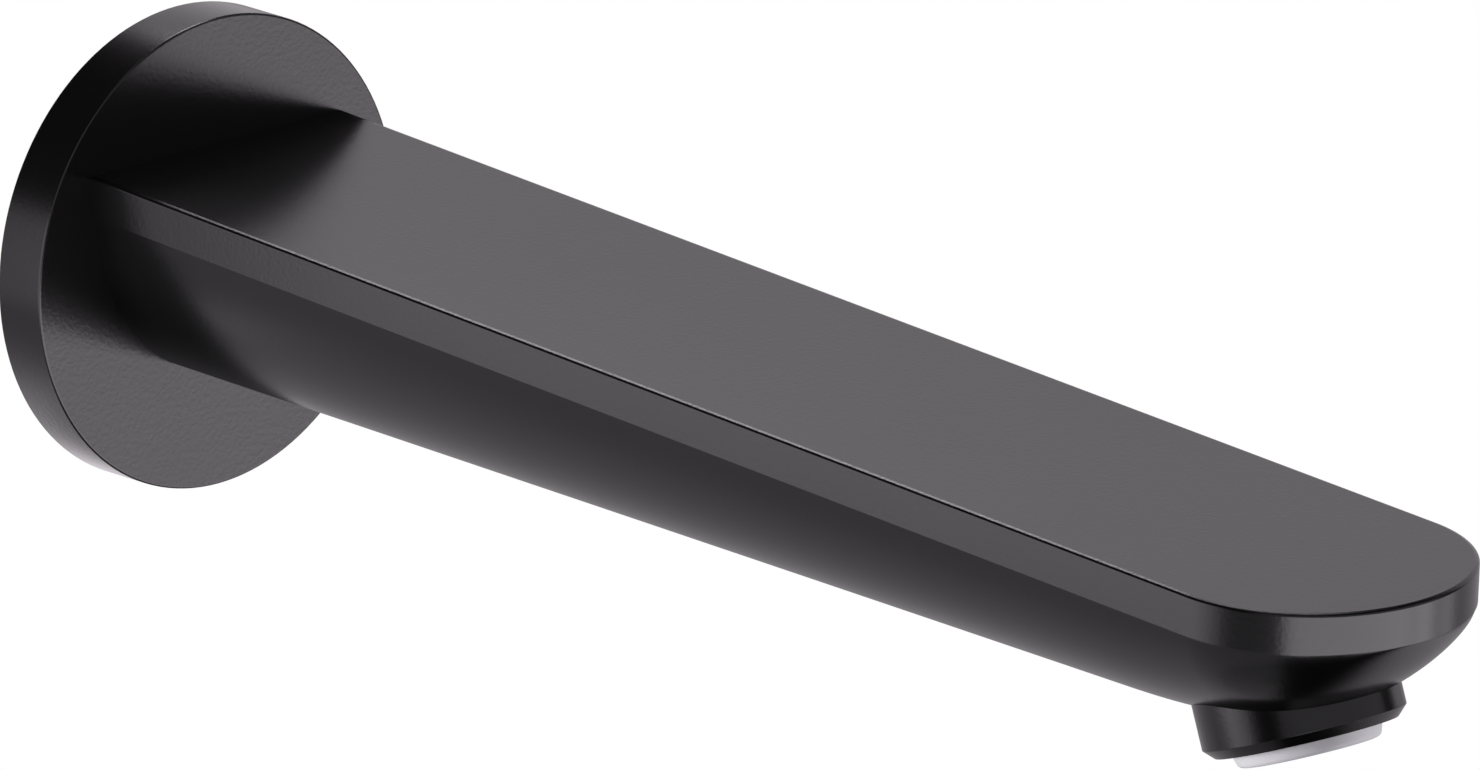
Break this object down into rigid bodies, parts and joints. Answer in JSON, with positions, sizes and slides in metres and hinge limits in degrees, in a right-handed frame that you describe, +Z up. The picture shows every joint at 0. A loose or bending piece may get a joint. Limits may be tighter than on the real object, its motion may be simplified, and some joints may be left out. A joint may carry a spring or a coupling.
{
  "type": "wall-mounted bath spout",
  "caption": "Long flat-decked bath spout with a boat-shaped underside, round wall flange, slanted aerator outlet and threaded wall connection.",
  "frame": {"origin": "centre of the wall flange's back face, on the axis of the wall inlet, where the threaded connection leaves the wall", "axes": "+Y points into the wall along the inlet, -Y is the way the spout reaches out, +Z is up, +X is to the right seen from the front of the wall"},
  "size_m": [0.0654, 0.2494, 0.0654],
  "materials": {
    "black_coating": "satin black coating on cast brass, with a fine orange-peel texture",
    "seal_rubber": "black EPDM rubber",
    "bare_brass": "turned brass, bare",
    "fibre_washer": "pressed red fibre",
    "stainless_steel": "stainless steel, plain",
    "pale_plastic": "pale grey moulded plastic, satin",
    "grid_plastic": "grey moulded plastic, satin"
  },
  "bodies": {
    "root": {"spout_body": "black_coating", "wall_flange": "black_coating", "flange_seal": "seal_rubber", "neck_o_ring": "seal_rubber", "connection_nipple": "bare_brass", "nipple_seal_ring": "fibre_washer", "nipple_o_ring_inner": "seal_rubber", "nipple_o_ring_outer": "seal_rubber", "set_screw": "stainless_steel", "aerator_shell": "pale_plastic", "outlet_grid": "grid_plastic", "lower_screen": "stainless_steel", "screen_spacer": "grid_plastic", "upper_screen": "stainless_steel", "jet_splitter": "grid_plastic", "flow_regulator": "grid_plastic", "regulator_o_ring": "seal_rubber", "aerator_sieve": "grid_plastic", "aerator_gasket": "seal_rubber"}
  },
  "joints": []
}
